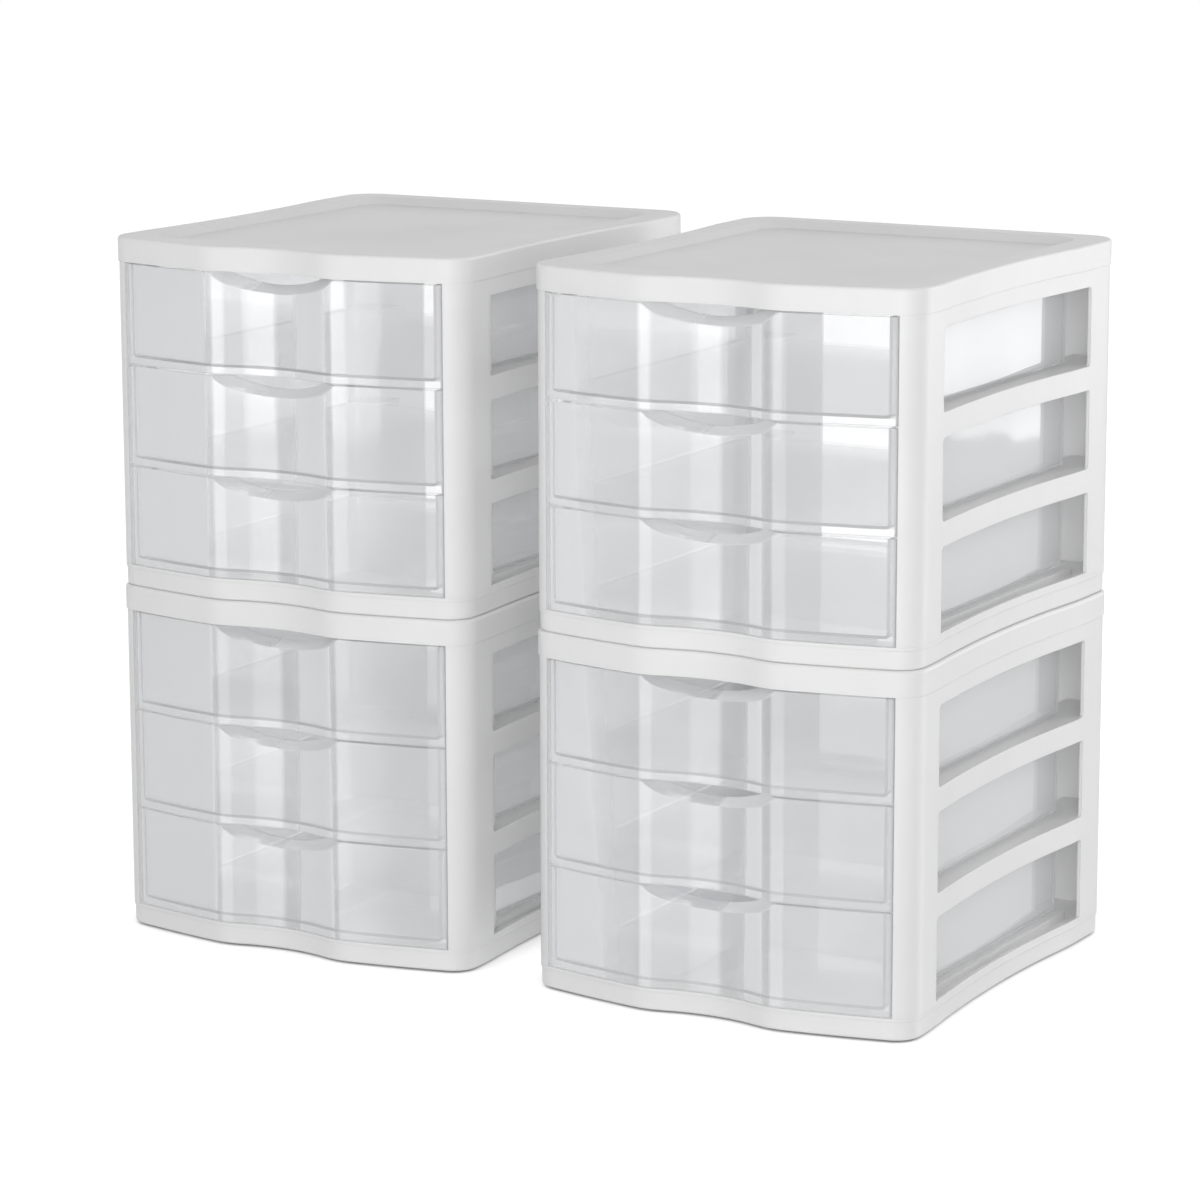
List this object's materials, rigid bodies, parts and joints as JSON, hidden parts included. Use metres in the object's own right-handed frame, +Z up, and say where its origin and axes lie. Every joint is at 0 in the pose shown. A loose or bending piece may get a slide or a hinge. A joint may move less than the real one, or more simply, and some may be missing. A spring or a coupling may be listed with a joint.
{
  "type": "stacking drawer unit",
  "caption": "Stacking desktop drawer units with wavy clear drawer fronts, waisted open sides and white frames, for paper and craft supplies",
  "frame": {"origin": "on the ground, under the middle of the set's bounding box", "axes": "+X across the fronts to the right as seen from the front, +Y from the drawer fronts to the back, +Z up"},
  "size_m": [0.6088, 0.336, 0.4835],
  "materials": {
    "white_frame": "satin moulded polypropylene",
    "clear_drawer": "clear, slightly milky polystyrene"
  },
  "bodies": {
    "lower_frames": {"left_lower_base_panel": "white_frame", "left_lower_left_side": "white_frame", "left_lower_right_side": "white_frame", "left_lower_top_panel": "white_frame", "right_lower_base_panel": "white_frame", "right_lower_left_side": "white_frame", "right_lower_right_side": "white_frame", "right_lower_top_panel": "white_frame"},
    "left_lower_bottom_drawer": {"left_lower_bottom_drawer": "clear_drawer"},
    "left_lower_middle_drawer": {"left_lower_middle_drawer": "clear_drawer"},
    "left_lower_top_drawer": {"left_lower_top_drawer": "clear_drawer"},
    "left_upper_frame": {"left_upper_base_panel": "white_frame", "left_upper_left_side": "white_frame", "left_upper_right_side": "white_frame", "left_upper_top_panel": "white_frame"},
    "left_upper_bottom_drawer": {"left_upper_bottom_drawer": "clear_drawer"},
    "left_upper_middle_drawer": {"left_upper_middle_drawer": "clear_drawer"},
    "left_upper_top_drawer": {"left_upper_top_drawer": "clear_drawer"},
    "right_lower_bottom_drawer": {"right_lower_bottom_drawer": "clear_drawer"},
    "right_lower_middle_drawer": {"right_lower_middle_drawer": "clear_drawer"},
    "right_lower_top_drawer": {"right_lower_top_drawer": "clear_drawer"},
    "right_upper_frame": {"right_upper_base_panel": "white_frame", "right_upper_left_side": "white_frame", "right_upper_right_side": "white_frame", "right_upper_top_panel": "white_frame"},
    "right_upper_bottom_drawer": {"right_upper_bottom_drawer": "clear_drawer"},
    "right_upper_middle_drawer": {"right_upper_middle_drawer": "clear_drawer"},
    "right_upper_top_drawer": {"right_upper_top_drawer": "clear_drawer"}
  },
  "joints": [
    {"name": "left_lower_bottom_drawer_slide", "type": "slide", "parent": "lower_frames", "child": "left_lower_bottom_drawer", "axis": [0, -1, 0], "range_m": [0, 0.25]},
    {"name": "left_lower_middle_drawer_slide", "type": "slide", "parent": "lower_frames", "child": "left_lower_middle_drawer", "axis": [0, -1, 0], "range_m": [0, 0.25]},
    {"name": "left_lower_top_drawer_slide", "type": "slide", "parent": "lower_frames", "child": "left_lower_top_drawer", "axis": [0, -1, 0], "range_m": [0, 0.25]},
    {"name": "left_upper_unit_lift", "type": "slide", "parent": "lower_frames", "child": "left_upper_frame", "axis": [0, 0, 1], "range_m": [0, 0.12]},
    {"name": "left_upper_bottom_drawer_slide", "type": "slide", "parent": "left_upper_frame", "child": "left_upper_bottom_drawer", "axis": [0, -1, 0], "range_m": [0, 0.25]},
    {"name": "left_upper_middle_drawer_slide", "type": "slide", "parent": "left_upper_frame", "child": "left_upper_middle_drawer", "axis": [0, -1, 0], "range_m": [0, 0.25]},
    {"name": "left_upper_top_drawer_slide", "type": "slide", "parent": "left_upper_frame", "child": "left_upper_top_drawer", "axis": [0, -1, 0], "range_m": [0, 0.25]},
    {"name": "right_lower_bottom_drawer_slide", "type": "slide", "parent": "lower_frames", "child": "right_lower_bottom_drawer", "axis": [0, -1, 0], "range_m": [0, 0.25]},
    {"name": "right_lower_middle_drawer_slide", "type": "slide", "parent": "lower_frames", "child": "right_lower_middle_drawer", "axis": [0, -1, 0], "range_m": [0, 0.25]},
    {"name": "right_lower_top_drawer_slide", "type": "slide", "parent": "lower_frames", "child": "right_lower_top_drawer", "axis": [0, -1, 0], "range_m": [0, 0.25]},
    {"name": "right_upper_unit_lift", "type": "slide", "parent": "lower_frames", "child": "right_upper_frame", "axis": [0, 0, 1], "range_m": [0, 0.12]},
    {"name": "right_upper_bottom_drawer_slide", "type": "slide", "parent": "right_upper_frame", "child": "right_upper_bottom_drawer", "axis": [0, -1, 0], "range_m": [0, 0.25]},
    {"name": "right_upper_middle_drawer_slide", "type": "slide", "parent": "right_upper_frame", "child": "right_upper_middle_drawer", "axis": [0, -1, 0], "range_m": [0, 0.25]},
    {"name": "right_upper_top_drawer_slide", "type": "slide", "parent": "right_upper_frame", "child": "right_upper_top_drawer", "axis": [0, -1, 0], "range_m": [0, 0.25]}
  ]
}
